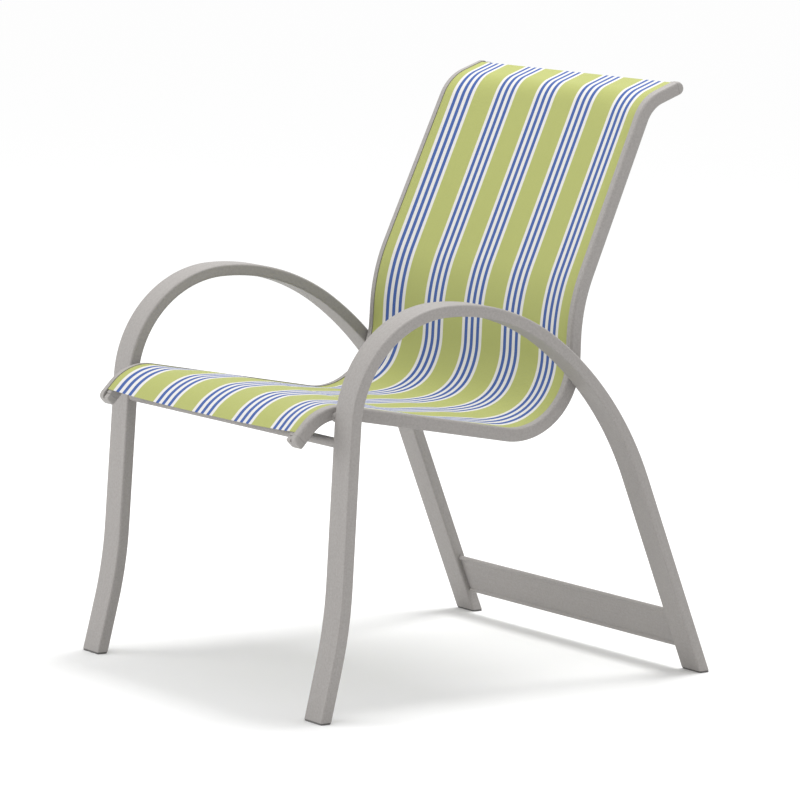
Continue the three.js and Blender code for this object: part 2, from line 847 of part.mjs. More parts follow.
// A flat oval tube behind the sling, at a share of one of the rails' straight runs.
function spreaderGeometry(run, share, sag) {
  const station = railPath.at(run.from + share * run.length);
  const level = fabricBottom - sag - spreaderGap - spreaderDepth / 2;
  const flatOval = (inset, steps) => {
    const halfWidth = spreaderWidth / 2 - inset;
    const halfDepth = spreaderDepth / 2 - inset;
    return roundedBox(
      -halfWidth,
      level - halfDepth,
      halfWidth,
      level + halfDepth,
      Array(4).fill(halfDepth * 0.9),
      steps,
    );
  };
  const reach = (y, z) => railInner(y, z) - clearance;
  return between(
    sectionAt(station, flatOval(0, 4)),
    [sectionAt(station, flatOval(spreaderWall, 2).reverse())],
    (y, z) => -reach(y, z),
    reach,
  );
}

// Assembly

// One side of the chair, mirrored for the sitter's right.
function sideOf(name, sign) {
  const side = new THREE.Group();
  side.scale.x = sign;
  const onHoop = slanted(hoopMiddle);
  onHoop.add(
    piece(name + "_hoop", hoopGeometry(), powderCoat),
    piece(name + "_front_glide", glideGeometry({ y: footY, heading: degrees(footHeading) }), darkPlastic),
    piece(name + "_back_glide", glideGeometry(onLeg(backLeg, 0)), darkPlastic),
  );
  const onRail = slanted(railOuter);
  onRail.add(
    piece(name + "_rail", railGeometry(), powderCoat),
    piece(name + "_nose_cap", capGeometry(0, 1, noseCapUpperRound, noseCapLowerRound), greyPlastic),
    piece(name + "_top_cap", capGeometry(railPath.length, -1, topCapRound, topCapRound), greyPlastic),
    piece(name + "_spline_rod", rodGeometry(), whitePlastic),
  );
  side.add(onHoop, onRail);
  side.add(...joint(name + "_front", frontJoint), ...joint(name + "_back", backJoint));
  return side;
}

const chair = new THREE.Group();
chair.add(
  sideOf("left", 1),
  sideOf("right", -1),
  piece("front_crossbar", crossbarGeometry(), powderCoat),
  piece("rear_stretcher", stretcherGeometry(), powderCoat),
  piece("seat_spreader", spreaderGeometry(seatRun, seatSpreaderShare, seatDip), powderCoat),
  piece("back_spreader", spreaderGeometry(backRun, backSpreaderShare, backSag), powderCoat),
  piece("sling_fabric", slingGeometry(), slingCloth),
);

// The origin goes to the middle of the chair's depth.
chair.updateMatrixWorld(true);
chair.position.y = -new THREE.Box3().setFromObject(chair).getCenter(new THREE.Vector3()).y;

export default chair;
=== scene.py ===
import math

import bpy
from mathutils import Matrix, Vector


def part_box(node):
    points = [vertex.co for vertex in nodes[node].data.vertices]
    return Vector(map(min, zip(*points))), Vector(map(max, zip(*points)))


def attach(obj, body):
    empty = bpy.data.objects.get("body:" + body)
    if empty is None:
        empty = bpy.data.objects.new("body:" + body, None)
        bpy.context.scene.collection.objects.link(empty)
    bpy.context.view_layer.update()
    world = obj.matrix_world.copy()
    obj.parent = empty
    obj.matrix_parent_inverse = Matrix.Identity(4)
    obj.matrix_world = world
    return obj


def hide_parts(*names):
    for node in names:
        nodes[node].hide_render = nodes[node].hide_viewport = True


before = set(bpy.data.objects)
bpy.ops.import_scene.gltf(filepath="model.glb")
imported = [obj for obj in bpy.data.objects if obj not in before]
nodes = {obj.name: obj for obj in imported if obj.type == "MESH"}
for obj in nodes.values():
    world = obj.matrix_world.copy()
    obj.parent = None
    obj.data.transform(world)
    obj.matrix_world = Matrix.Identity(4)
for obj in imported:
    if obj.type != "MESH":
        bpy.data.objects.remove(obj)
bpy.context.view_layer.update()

MM = 0.001
SHIFT = -27.396 * MM  # from the paths' own origin to the row frame, along Y

# Side hoop
HOOP_WIDTH = 46.4 * MM
HOOP_DEPTH = 18.6 * MM
HOOP_EDGE = 3.3 * MM
HOOP_SPACING = 614 * MM
HOOP_LEAN = 0.01
HOOP_TOE = 0.0164
FOOT_Y = -331.2 * MM
FOOT_HEADING = 13.7
OVERRUN = 30 * MM
HOOP_RUNS = [
    (OVERRUN + 82.6 * MM, 0),
    (656 * MM, -10.7),
    (234.5 * MM, 0),
    (170 * MM, 84.2),
    (335 * MM, 37.7),
    (508 * MM, 32.5),
    (420 * MM, 0),
]
GLIDE_HEIGHT = 3 * MM
FIRST_SECTION = 2 * MM  # over the glide, at the least, so that no section cuts the level foot

# Sling rail
RAIL_WIDTH = 25 * MM
RAIL_DEPTH = 20.8 * MM
RAIL_OUTER_EDGE = 4.5 * MM
RAIL_INNER_EDGE = 2 * MM
RAIL_BACK_EDGE = 3 * MM
RAIL_STRIP = 12.2 * MM
RAIL_SLOT = 2.8 * MM
RAIL_LIP = 1.6 * MM
RAIL_LEAN = 0.0215
RAIL_TOE = 0.0037
NOSE_HEIGHT = 407.4 * MM
NOSE_REACH = 64.8 * MM
NOSE_HEADING = 44
RAIL_RUNS = [
    (29.4 * MM, 0),
    (72 * MM, 56.3),
    (306 * MM, 0),
    (109.6 * MM, -98.5),
    (30.5 * MM, 0),
    (267 * MM, 22.1),
    (255.1 * MM, 0),
    (61.8 * MM, 46),
    (45.4 * MM, 0),
]
SPACER = 15 * MM
SPACER_LENGTH = 9.8 * MM
FLANGE_ROOM = 1.8 * MM  # between spacer and hoop, for the nut's flange
CLEARANCE = 0.3 * MM

# End caps, rounded in side view over the upper and the lower edge
CAP_LENGTH = 10 * MM
CAP_ROUNDS = {"nose": (9 * MM, 2.5 * MM), "top": (9.6 * MM, 9.6 * MM)}
CAP_OUTER_ROUND = 2 * MM  # of the corners in plan view
CAP_INNER_ROUND = 2.8 * MM
CAP_STEP_DROP = 3.4 * MM  # from the bare strip to the inner part
CAP_SLOT_DEPTH = 6.5 * MM
CAP_SOFT_EDGE = 0.7 * MM
CAP_LEAST_RIM = 0.02 * MM  # of the soft edges where the cap runs out to its tip
CAP_LEAST_LIP = 0.01 * MM
CAP_EDGE_SHARE = 0.8  # of half the section's height, the most that an edge's radius takes
CAP_STEPS = 12

# Sling
FABRIC = 0.9 * MM
FABRIC_DROP = 1 * MM
FABRIC_FOLD = 0.5 * MM  # where the cloth turns down into the slot
FABRIC_STEP = 6 * MM
FABRIC_SPANS = 60
HEM_STEPS = 20
NOSE_END_GAP = 5.6 * MM  # of bare groove between cap and fabric
TOP_END_GAP = 0.6 * MM
ROD = 4 * MM

# Stripes of the cloth, in bands of thin ones: white and blue by turns, with white at both edges
STRIPE_PITCH = 100 * MM
BAND_SHARE = 0.524  # of the pitch
THIN_STRIPES = 7
EDGE_STRIPE_SHARE = 0.9  # of a thin stripe, for the two at the band's edges
STRIPE_BLUR = 0.25 * MM
FRONT_STRETCH = 0.069  # of the pitch at the front edge, fading towards the top
STRETCH_FADE = 1.8
YARN = 1.3 * MM

# How far the middle of the sling lies out of the rails' curve, at shares of the path's runs
SAG_MARKS = [
    (1, 0.15, -8 * MM),
    (2, 0.21, 7.5 * MM),
    (2, 0.61, -3.5 * MM),
    (3, 0.115, 9.3 * MM),
    (3, 0.71, -9 * MM),
    (7, 0, -9 * MM),
    (8, 0, 0),
]
SAG_POWER = 3  # how flat the sling stays across its middle

# Bars
CROSSBAR = 15 * MM
CROSSBAR_DROP = 37.5 * MM
CROSSBAR_LENGTH = 560 * MM
STRETCHER_HEIGHT = 66.8 * MM
STRETCHER_WIDTH = 67 * MM
STRETCHER_BEAD = 7.5 * MM
STRETCHER_WEB = 3 * MM
STRETCHER_LENGTH = 550 * MM
SPREADER_WIDTH = 28 * MM
SPREADER_DEPTH = 12 * MM
SPREADER_LENGTH = 480 * MM
SPREADER_GAP = 1.7 * MM
SPREADER_ROUND_SHARE = 0.9  # of half its depth

# The rail's run that each spreader joins, its place along that run, and how far the sling sags there
SPREADERS = {"seat": (2, 0.56, 3.5 * MM), "back": (6, 0.72, 9 * MM)}

# How finely the curves are drawn
FINE_STEP = 2.0  # degrees of bend for each facet
LONG_STEP = 20 * MM
LEAST_STEP = 0.2 * MM
SAME_PLACE = 1e-12
CIRCLE_SIDES = 48
BEAD_STEPS = 24
GROOVE_STEPS = 16
SPREADER_STEPS = 10
OUTER_STEPS = 7
EDGE_STEPS = 6
BACK_STEPS = 5
INNER_STEPS = 4
SLOT_STEPS = 3
FRAME_SHARP = 35  # degrees from which an edge is drawn sharp
CLOTH_SHARP = 50

# Colours, linear
FRAME_BASE = (0.281, 0.266, 0.255)
CAP_BASE = (0.274, 0.26, 0.248)
GLIDE_BASE = (0.1, 0.096, 0.093)
ROD_BASE = (0.75, 0.74, 0.7)
STEEL_BASE = (0.6, 0.6, 0.61)
GREEN = (0.318, 0.339, 0.102)
BLUE = (0.028, 0.076, 0.262)
WHITE = (0.565, 0.55, 0.535)

# Noise scales, in features per metre. Those with three numbers are for UVs, along and across.
COAT_GRAIN = 1100
COAT_CLOUD = 300
COAT_STREAKS = (4, 900, 1)
PLASTIC_GRAIN = 900
CLOTH_GRAIN = (700, 700, 1)
CLOTH_SLUBS = (40, 900, 1)

# Floor and light. The floor is painted greyer round the chair than far away, as painted shade under the
# lamps' light, so that its shadows show.
FLOOR_REACH = 40
# Painted shade on the floor: full grey out to this distance from the middle, fading to white by the white
# reach
PAINTED_SHADE_REACH = 0.8
WHITE_REACH = 3
FLOOR_PAINTED_SHADE_GREY = 0.84
FLOOR_WHITE = 0.985
SKY_STRENGTH = 1.0
LAMPS = [
    # name, place, target, size in metres, power in watts
    ("top", (-0.1, 0.75, 3.5), (0, 0, 0.3), 1.5, 84),
    ("front", (-2.4, -3.4, 1.5), (0, 0, 0.5), 2.4, 54),
]

# Camera, in the paths' own origin
CAMERA_PLACE = (5.656439, -4.078911, 1.412538)
CAMERA_AHEAD = (-0.800898, 0.581886, -0.141319)
CAMERA_UP = (-0.125188, 0.068079, 0.989795)
CAMERA_SENSOR = 36  # mm
CAMERA_LENS = 204.3673
CAMERA_NEAR = 0.5
CAMERA_FAR = 200


class BentPath:
    """A path in a side plane, made of straight runs (length, 0) and bends (radius, degrees)."""

    def __init__(self, y, z, heading, runs):
        self.runs = []
        self.length = 0.0
        here = (y, z, math.radians(heading))
        for size, turn in runs:
            turn = math.radians(turn)
            length = size * abs(turn) if turn else size
            self.runs.append((*here, self.length, length, turn, size))
            self.length += length
            here = self.at(self.length)[:3]

    def at(self, distance):
        y, z, heading, start, length, turn, size = self.runs[0]
        for run in self.runs:
            if run[3] <= distance + SAME_PLACE:
                y, z, heading, start, length, turn, size = run
        along = distance - start
        if not turn:
            return (y + along * math.sin(heading), z + along * math.cos(heading), heading, distance)
        side = math.copysign(1, turn)
        ahead = heading + side * along / size
        return (
            y + side * size * (math.cos(heading) - math.cos(ahead)),
            z + side * size * (math.sin(ahead) - math.sin(heading)),
            ahead,
            distance,
        )

    def stations(self, start, end, long_step=LONG_STEP):
        """Places along the path, close together in its bends: y, z, heading and distance."""
        marks = []
        for _, _, _, first, length, turn, _ in self.runs:
            count = max(1, math.ceil(abs(turn) / math.radians(FINE_STEP)), math.ceil(length / long_step))
            marks += [first + length * i / count for i in range(count)]
        marks = sorted(m for m in marks if start + LEAST_STEP < m < end - LEAST_STEP)
        kept = [start]
        for mark in marks:
            if mark > kept[-1] + LEAST_STEP:
                kept.append(mark)
        return [self.at(mark) for mark in [*kept, end]]


def beside(station, along, out):
    """The y and z of a point that lies along the path and out of it from a station."""
    y, z, heading = station[:3]
    return (
        y + along * math.sin(heading) - out * math.cos(heading),
        z + along * math.cos(heading) + out * math.sin(heading),
    )


def arc(cx, cy, radius, start, end, steps):
    """Points on an arc between two angles in degrees, in a number of steps."""
    angles = [math.radians(start + (end - start) * i / steps) for i in range(steps + 1)]
    return [(cx + radius * math.cos(a), cy + radius * math.sin(a)) for a in angles]


def circle(cx, cy, radius, sides):
    return arc(cx, cy, radius, 0, 360, sides)[:-1]


def rounded_box(left, bottom, right, top, radii, steps):
    """A box with four rounded corners, from the lower left one round."""
    a, b, c, d = radii
    return (
        arc(left + a, bottom + a, a, 180, 270, steps)
        + arc(right - b, bottom + b, b, 270, 360, steps)
        + arc(right - c, top - c, c, 0, 90, steps)
        + arc(left + d, top - d, d, 90, 180, steps)
    )


# The two paths and the faces that lean on them
start_y = FOOT_Y - OVERRUN * math.sin(math.radians(FOOT_HEADING))
start_z = -OVERRUN * math.cos(math.radians(FOOT_HEADING))
hoop_path = BentPath(start_y, start_z, FOOT_HEADING, HOOP_RUNS)


def on_leg(run, z):
    """A station on a leg's straight run, at a height."""
    y, z0, heading = run[:3]
    return (y + (z - z0) * math.tan(heading), z, heading, 0)


front_leg = hoop_path.runs[2]
back_leg = hoop_path.runs[-1]
hoop_end = back_leg[3] + (back_leg[1] + OVERRUN) / -math.cos(back_leg[2])

nose_y = on_leg(front_leg, NOSE_HEIGHT)[0] - NOSE_REACH
rail_path = BentPath(nose_y, NOSE_HEIGHT, NOSE_HEADING, RAIL_RUNS)
rail_start = CAP_LENGTH + CLEARANCE
rail_end = rail_path.length - rail_start
fabric_start = CAP_LENGTH + NOSE_END_GAP
fabric_end = rail_path.length - CAP_LENGTH - TOP_END_GAP

hem_radius = ROD / 2 + CLEARANCE + FABRIC
groove_radius = hem_radius + 2 * CLEARANCE
fabric_top = RAIL_DEPTH / 2 - FABRIC_DROP
fabric_bottom = fabric_top - FABRIC
lip_top = fabric_bottom - CLEARANCE
lip_bottom = lip_top - RAIL_LIP
groove_level = lip_bottom - groove_radius
slot_inset = RAIL_STRIP + RAIL_SLOT / 2

SPACERS = {}
for end in ("front", "back"):
    low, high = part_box(f"left_{end}_spacer")
    SPACERS[end] = ((low.y + high.y) / 2 - SHIFT, (low.z + high.z) / 2)
joint_y, joint_z = SPACERS["front"]


def hoop_middle(y, z):
    return HOOP_SPACING / 2 - HOOP_TOE * (y - FOOT_Y) - HOOP_LEAN * z


def hoop_inner(y, z):
    return hoop_middle(y, z) - HOOP_WIDTH / 2


def rail_outer(y, z):
    edge = hoop_inner(joint_y, joint_z) - SPACER_LENGTH
    return edge - RAIL_TOE * (y - joint_y) - RAIL_LEAN * (z - joint_z)


def rail_inner(y, z):
    return rail_outer(y, z) - RAIL_WIDTH


# Meshes
def mesh_of(name, rings, along):
    """A closed mesh through rings of points, moved to the row frame, with UVs in metres."""
    count = len(rings[0])
    vertices = [(x, y + SHIFT, z) for ring in rings for x, y, z in ring]
    around = [0.0]
    for i in range(count):
        a, b = Vector(rings[0][i]), Vector(rings[0][(i + 1) % count])
        around.append(around[-1] + (b - a).length)
    faces, uvs = [], []
    for j in range(len(rings) - 1):
        for i in range(count):
            a, b = j * count + i, j * count + (i + 1) % count
            faces.append((a, b, b + count, a + count))
            uvs += [(along[j], around[i]), (along[j], around[i + 1])]
            uvs += [(along[j + 1], around[i + 1]), (along[j + 1], around[i])]
    last = (len(rings) - 1) * count
    faces.append(tuple(reversed(range(count))))
    uvs += [(0.0, around[i]) for i in reversed(range(count))]
    faces.append(tuple(last + i for i in range(count)))
    uvs += [(1.0, around[i]) for i in range(count)]
    mesh = bpy.data.meshes.new(name)
    mesh.from_pydata(vertices, [], faces)
    layer = mesh.uv_layers.new(name="lay")
    for loop, uv in zip(layer.data, uvs):
        loop.uv = uv
    mesh.update()
    return mesh


def outward(mesh):
    """Turns the faces outward if the solid's volume comes out negative."""
    volume = 0.0
    points = mesh.vertices
    for face in mesh.polygons:
        first = points[face.vertices[0]].co
        for i in range(1, len(face.vertices) - 1):
            second = points[face.vertices[i]].co
            third = points[face.vertices[i + 1]].co
            volume += first.dot(second.cross(third))
    if volume < 0:
        mesh.flip_normals()


def show(name, mesh, material, replaced, sharp=FRAME_SHARP):
    """Adds a mesh to the chair as a smooth piece that stands in for the replaced nodes."""
    outward(mesh)
    mesh.polygons.foreach_set("use_smooth", [True] * len(mesh.polygons))
    mesh.set_sharp_from_angle(angle=math.radians(sharp))
    mesh.materials.append(material)
    piece = bpy.data.objects.new(name, mesh)
    bpy.context.scene.collection.objects.link(piece)
    weighted = piece.modifiers.new("even_normals", "WEIGHTED_NORMAL")
    weighted.keep_sharp = True
    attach(piece, "root")
    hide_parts(*replaced)
    return piece


# Materials
def new_material(name):
    material = bpy.data.materials.new(name)
    material.use_nodes = True
    tree = material.node_tree
    return material, tree, tree.nodes["Principled BSDF"]


def node(tree, kind, **settings):
    made = tree.nodes.new(kind)
    for key, value in settings.items():
        setattr(made, key, value)
    return made


def fill(tree, socket, value):
    """Links an output to a socket, or sets the socket to a plain number or colour."""
    if isinstance(value, bpy.types.NodeSocket):
        tree.links.new(value, socket)
    else:
        socket.default_value = value


def math_node(tree, operation, *values):
    made = node(tree, "ShaderNodeMath", operation=operation)
    for socket, value in zip(made.inputs, values):
        fill(tree, socket, value)
    return made.outputs[0]


def mixed(tree, factor, first, second):
    made = node(tree, "ShaderNodeMix", data_type="RGBA")
    for number, value in ((0, factor), (6, first), (7, second)):
        fill(tree, made.inputs[number], value)
    return made.outputs[2]


def ramp(tree, value, start, end, first, last, shape="LINEAR"):
    """Goes from a first to a last number while the value goes from start to end."""
    made = node(tree, "ShaderNodeMapRange", interpolation_type=shape)
    for socket, number in zip(made.inputs, (value, start, end, first, last)):
        fill(tree, socket, number)
    return made.outputs["Result"]


def noise(tree, vector, scale=1.0, detail=2.0):
    made = node(tree, "ShaderNodeTexNoise")
    made.inputs["Scale"].default_value = scale
    made.inputs["Detail"].default_value = detail
    tree.links.new(vector, made.inputs["Vector"])
    return made.outputs["Fac"]


def stretched(tree, vector, scale):
    made = node(tree, "ShaderNodeMapping")
    made.inputs["Scale"].default_value = scale
    tree.links.new(vector, made.inputs["Vector"])
    return made.outputs["Vector"]


def bump(tree, shader, height, strength, distance):
    made = node(tree, "ShaderNodeBump")
    made.inputs["Strength"].default_value = strength
    made.inputs["Distance"].default_value = distance
    tree.links.new(height, made.inputs["Height"])
    tree.links.new(made.outputs["Normal"], shader.inputs["Normal"])


def blend(tree, lift, *parts):
    """A lift plus each part's value times its weight."""
    tone = lift
    for value, weight in parts:
        tone = math_node(tree, "MULTIPLY_ADD", value, weight, tone)
    return tone


def shades(base, spread):
    """A darker and a lighter colour about a base colour."""
    return [tuple(c * (1 + way * spread) for c in base) + (1,) for way in (-1, 1)]


def powder_coat(name, base):
    """A matt coat with a fine grain, cloudy patches and faint streaks along the tube."""
    material, tree, shader = new_material(name)
    where = node(tree, "ShaderNodeTexCoord")
    grain = noise(tree, where.outputs["Object"], COAT_GRAIN)
    cloud = noise(tree, where.outputs["Object"], COAT_CLOUD, detail=3.0)
    lines = noise(tree, stretched(tree, where.outputs["UV"], COAT_STREAKS), detail=1.0)
    tone = blend(tree, -0.75, (grain, 0.9), (cloud, 1.1), (lines, 0.5))
    tree.links.new(mixed(tree, tone, *shades(base, spread=0.16)), shader.inputs["Base Color"])
    shader.inputs["Roughness"].default_value = 0.55
    shader.inputs["Specular IOR Level"].default_value = 0.35
    bump(tree, shader, grain, strength=0.25, distance=0.15 * MM)
    return material


def plain(name, base, roughness, metallic=0.0):
    """A plastic or metal of one colour with a faint grain."""
    material, tree, shader = new_material(name)
    where = node(tree, "ShaderNodeTexCoord")
    grain = noise(tree, where.outputs["Object"], PLASTIC_GRAIN)
    tree.links.new(mixed(tree, grain, *shades(base, spread=0.08)), shader.inputs["Base Color"])
    shader.inputs["Roughness"].default_value = roughness
    shader.inputs["Metallic"].default_value = metallic
    bump(tree, shader, grain, strength=0.1, distance=0.1 * MM)
    return material


def band(tree, coordinate, centre, half):
    """One inside a stripe about a centre, fading to nothing over a soft edge."""
    away = math_node(tree, "ABSOLUTE", math_node(tree, "SUBTRACT", coordinate, centre))
    return ramp(tree, away, half - STRIPE_BLUR, half + STRIPE_BLUR, 1.0, 0.0)


def sling_cloth(name, green, blue, white):
    """Stripes along the sling and a weave of coated yarns, both laid out by the cloth's UVs."""
    material, tree, shader = new_material(name)
    where = node(tree, "ShaderNodeTexCoord")
    split = node(tree, "ShaderNodeSeparateXYZ")
    tree.links.new(where.outputs["UV"], split.inputs["Vector"])
    run, across = split.outputs["X"], split.outputs["Y"]
    thin = STRIPE_PITCH * BAND_SHARE / THIN_STRIPES
    pitch = math_node(tree, "WRAP", across, STRIPE_PITCH / 2, -STRIPE_PITCH / 2)
    whole = band(tree, pitch, 0.0, ((THIN_STRIPES - 2) / 2 + EDGE_STRIPE_SHARE) * thin)
    blues = band(tree, pitch, 0.0, thin / 2)
    for side in (-1, 1):
        blues = math_node(tree, "MAXIMUM", blues, band(tree, pitch, side * 2 * thin, thin / 2))
    stripes = mixed(tree, whole, green + (1,), mixed(tree, blues, white + (1,), blue + (1,)))

    warp = math_node(tree, "SINE", math_node(tree, "MULTIPLY", across, 2 * math.pi / YARN))
    weft = math_node(tree, "SINE", math_node(tree, "MULTIPLY", run, 2 * math.pi / YARN))
    weave = math_node(tree, "MULTIPLY", warp, weft)
    fine = noise(tree, stretched(tree, where.outputs["UV"], CLOTH_GRAIN))
    slubs = noise(tree, stretched(tree, where.outputs["UV"], CLOTH_SLUBS), detail=1.0)
    tone = blend(tree, 0.12, (fine, 0.35), (slubs, 0.3), (weave, 0.12))
    shade = node(tree, "ShaderNodeHueSaturation")
    tree.links.new(stripes, shade.inputs["Color"])
    tree.links.new(math_node(tree, "MULTIPLY_ADD", tone, 0.22, 0.9), shade.inputs["Value"])
    tree.links.new(shade.outputs["Color"], shader.inputs["Base Color"])
    shader.inputs["Roughness"].default_value = 0.65
    shader.inputs["Specular IOR Level"].default_value = 0.35
    bump(tree, shader, weave, strength=0.35, distance=0.2 * MM)
    return material


frame_coat = powder_coat("frame_coat", FRAME_BASE)
cap_plastic = plain("cap_plastic", CAP_BASE, roughness=0.5)
glide_plastic = plain("glide_plastic", GLIDE_BASE, roughness=0.6)
rod_plastic = plain("rod_plastic", ROD_BASE, roughness=0.5)
bolt_steel = plain("bolt_steel", STEEL_BASE, roughness=0.35, metallic=1.0)
cloth = sling_cloth("cloth", GREEN, BLUE, WHITE)
NODE_MATERIALS = {
    "glide": glide_plastic,
    "rod": rod_plastic,
    "bolt": bolt_steel,
    "washer": bolt_steel,
    "nut": bolt_steel,
}


# Frame pieces
def hoop_section():
    w, d = HOOP_WIDTH / 2, HOOP_DEPTH / 2
    return rounded_box(-w, -d, w, d, [HOOP_EDGE] * 4, EDGE_STEPS)


def hoop_rings(sign):
    """Rings along a hoop, with both feet cut level above the glides."""
    section = hoop_section()
    rings = []
    stations = hoop_path.stations(0.0, hoop_end)
    for i, station in enumerate(stations):
        ring = []
        for x, out in section:
            y, z = beside(station, 0, out)
            if i in (0, len(stations) - 1):
                y += (GLIDE_HEIGHT - z) * math.tan(station[2])
                z = GLIDE_HEIGHT
            ring.append((sign * (hoop_middle(y, z) - x), y, z))
        rings.append(ring)
    keep = [0]
    for i in range(1, len(rings) - 1):
        if min(p[2] for p in rings[i]) > GLIDE_HEIGHT + FIRST_SECTION:
            keep.append(i)
    keep.append(len(rings) - 1)
    return [rings[i] for i in keep], [stations[i][3] for i in keep]


def rail_outline():
    """The rail's section, with its open groove, from the outer back edge round."""
    half = RAIL_DEPTH / 2
    back, inner, outer = RAIL_BACK_EDGE, RAIL_INNER_EDGE, RAIL_OUTER_EDGE
    slot_angle = math.degrees(math.acos(RAIL_SLOT / 2 / groove_radius))
    return [
        *arc(back, back - half, back, 180, 270, BACK_STEPS),
        *arc(RAIL_WIDTH - back, back - half, back, 270, 360, BACK_STEPS),
        *arc(RAIL_WIDTH - inner, lip_top - inner, inner, 0, 90, INNER_STEPS),
        (slot_inset + RAIL_SLOT / 2, lip_top),
        *arc(slot_inset, groove_level, groove_radius, slot_angle, -180 - slot_angle, GROOVE_STEPS),
        (RAIL_STRIP, half),
        *arc(outer, half - outer, outer, 90, 180, OUTER_STEPS),
    ]


def rail_ring(sign, station, outline):
    """One ring at a station of the rail's path, whose insets count from the rail's outer face."""
    ring = []
    for inset, out in outline:
        y, z = beside(station, 0, out)
        ring.append((sign * (rail_outer(y, z) - inset), y, z))
    return ring


def rail_rings(sign):
    outline = rail_outline()
    stations = rail_path.stations(rail_start, rail_end)
    rings = [rail_ring(sign, station, outline) for station in stations]
    return rings, [station[3] for station in stations]


def stand_back(size, distance):
    """How far a quarter round stands back, at a distance behind the face that it starts from."""
    return size - math.sqrt(size**2 - (size - distance) ** 2) if distance < size else 0.0


def cap_outline(distance, upper, lower):
    """A cap's section behind its tip: the bare strip, the slot beside it and the lower inner part."""
    half = RAIL_DEPTH / 2
    left = stand_back(CAP_OUTER_ROUND, distance)
    right = RAIL_WIDTH - stand_back(CAP_INNER_ROUND, distance)
    low = stand_back(lower, distance) - half
    high = half - stand_back(upper, distance)
    step = min(high, half - CAP_STEP_DROP)
    slot = min(step, half - CAP_SLOT_DEPTH)
    limit = (high - low) / 2 * CAP_EDGE_SHARE
    back, outer = min(RAIL_BACK_EDGE, limit), min(RAIL_OUTER_EDGE, limit)
    soft = min(CAP_SOFT_EDGE, limit)
    rim = min(soft, max(high - slot, CAP_LEAST_RIM))
    lip = min(soft, max(step - slot, CAP_LEAST_LIP))
    slot_right = RAIL_STRIP + RAIL_SLOT
    return [
        *arc(left + back, low + back, back, 180, 270, EDGE_STEPS),
        *arc(right - back, low + back, back, 270, 360, EDGE_STEPS),
        *arc(right - soft, step - soft, soft, 0, 90, INNER_STEPS),
        *arc(slot_right + lip, step - lip, lip, 90, 180, SLOT_STEPS),
        (slot_right, slot),
        (RAIL_STRIP, slot),
        *arc(RAIL_STRIP - rim, high - rim, rim, 0, 90, SLOT_STEPS),
        *arc(left + outer, high - outer, outer, 90, 180, OUTER_STEPS),
    ]


def cap_rings(sign, tip, way, rounds):
    """Rings along a cap, close together at its rounded tip."""
    size = max(rounds)
    steps = [size * (1 - math.cos(math.pi / 2 * i / CAP_STEPS)) for i in range(CAP_STEPS + 1)]
    steps.append(CAP_LENGTH)
    rings = []
    for distance in steps:
        station = rail_path.at(tip + way * distance)
        rings.append(rail_ring(sign, station, cap_outline(distance, *rounds)))
    return rings, steps


def across_rings(station, section, reach):
    """Two end rings of a bar across the chair, whose ends follow the faces that it meets."""
    places = [beside(station, along, out) for along, out in section]
    return [[(side * reach(y, z), y, z) for y, z in places] for side in (-1, 1)]


def show_coated(name, rings, along, replaced):
    """A coated piece of the frame that stands in for one node."""
    show(name, mesh_of(name, rings, along), frame_coat, [replaced])


for side, sign in (("left", 1), ("right", -1)):
    show_coated(f"{side}_hoop_tube", *hoop_rings(sign), f"{side}_hoop")
    show_coated(f"{side}_rail_profile", *rail_rings(sign), f"{side}_rail")
    for end, tip, way in (("nose", 0.0, 1), ("top", rail_path.length, -1)):
        mesh = mesh_of("cap", *cap_rings(sign, tip, way, CAP_ROUNDS[end]))
        show(f"{side}_{end}_cap_cover", mesh, cap_plastic, [f"{side}_{end}_cap"])
    for end in ("front", "back"):
        places = circle(*SPACERS[end], SPACER / 2, CIRCLE_SIDES)
        ends = [
            [(sign * (rail_outer(*p) + CLEARANCE), *p) for p in places],
            [(sign * (hoop_inner(*p) - FLANGE_ROOM), *p) for p in places],
        ]
        show_coated(f"{side}_{end}_spacer_tube", ends, [0, SPACER_LENGTH], f"{side}_{end}_spacer")


def hoop_reach(y, z):
    return hoop_inner(y, z) - CLEARANCE


def rail_reach(y, z):
    return rail_inner(y, z) - CLEARANCE


place = on_leg(front_leg, joint_z - CROSSBAR_DROP)
bar = across_rings(place, circle(0, 0, CROSSBAR / 2, CIRCLE_SIDES), hoop_reach)
show_coated("front_crossbar_tube", bar, [0, CROSSBAR_LENGTH], "front_crossbar")

bead = STRETCHER_BEAD / 2
offset = STRETCHER_WIDTH / 2 - bead
meet = math.degrees(math.asin(STRETCHER_WEB / 2 / bead))
outline = [
    *arc(-offset, 0, bead, meet, 360 - meet, BEAD_STEPS),
    *arc(offset, 0, bead, meet - 180, 180 - meet, BEAD_STEPS),
]
bar = across_rings(on_leg(back_leg, STRETCHER_HEIGHT), outline, hoop_reach)
show_coated("rear_stretcher_plate", bar, [0, STRETCHER_LENGTH], "rear_stretcher")

half_width, half_depth = SPREADER_WIDTH / 2, SPREADER_DEPTH / 2
radii = [half_depth * SPREADER_ROUND_SHARE] * 4
for name, (run, share, sag) in SPREADERS.items():
    level = fabric_bottom - sag - SPREADER_GAP - half_depth
    bottom, top = level - half_depth, level + half_depth
    oval = rounded_box(-half_width, bottom, half_width, top, radii, SPREADER_STEPS)
    run_start, run_length = rail_path.runs[run][3:5]
    bar = across_rings(rail_path.at(run_start + share * run_length), oval, rail_reach)
    show_coated(f"{name}_spreader_tube", bar, [0, SPREADER_LENGTH], f"{name}_spreader")


